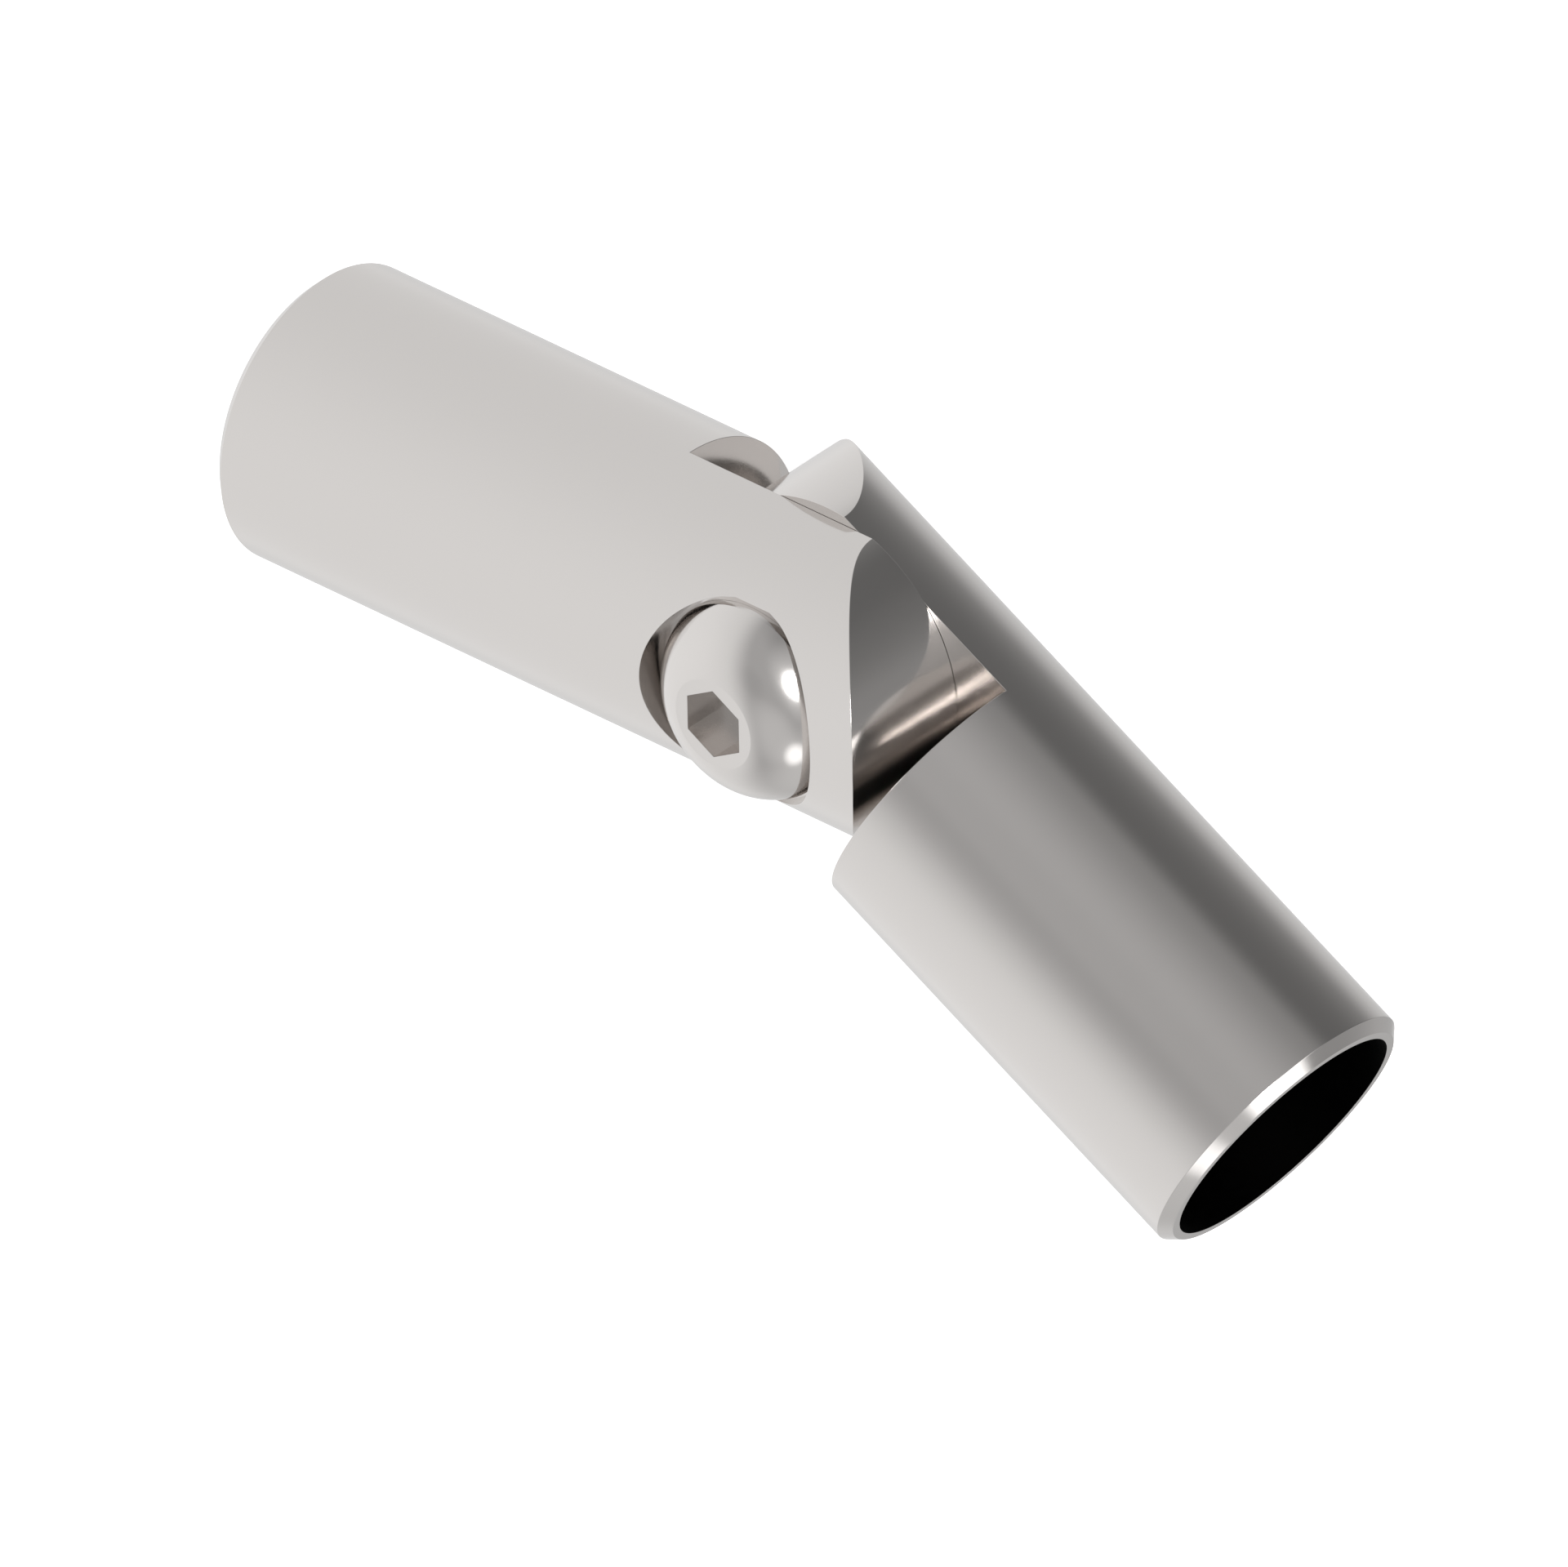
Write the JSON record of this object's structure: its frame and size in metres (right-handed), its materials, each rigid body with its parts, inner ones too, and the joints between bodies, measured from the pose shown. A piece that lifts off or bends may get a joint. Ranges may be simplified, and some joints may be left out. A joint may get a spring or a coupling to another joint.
{
  "type": "adjustable rod joint",
  "caption": "Adjustable angle joint for round rods: halved cylindrical ends lap face to face and pivot on a button-head clamp screw.",
  "frame": {"origin": "centre of the counterbored end's rod socket, in the plane of its mouth", "axes": "+X along the counterbored end, from its socket's mouth to the pivot 30 mm away; +Z along the pivot axis, towards the screw's head; the threaded end leaves the pivot 29 degrees below +X, towards -Y"},
  "size_m": [0.0594, 0.0279, 0.0147],
  "materials": {
    "satin_steel": "satin polished stainless steel",
    "screw_steel": "plain bright stainless steel"
  },
  "bodies": {
    "counterbored_end": {"counterbored_end": "satin_steel"},
    "threaded_end": {"threaded_end": "satin_steel"},
    "clamp_screw": {"clamp_screw": "screw_steel"}
  },
  "joints": [
    {"name": "pivot", "type": "hinge", "parent": "counterbored_end", "child": "threaded_end", "pos_m": [0.03, 0, 0], "axis": [0, 0, 1], "range_deg": [-61, 119]},
    {"name": "screw_turn", "type": "hinge", "parent": "threaded_end", "child": "clamp_screw", "pos_m": [0.03, 0, 0], "axis": [0, 0, 1], "range_deg": [0, 360]}
  ]
}
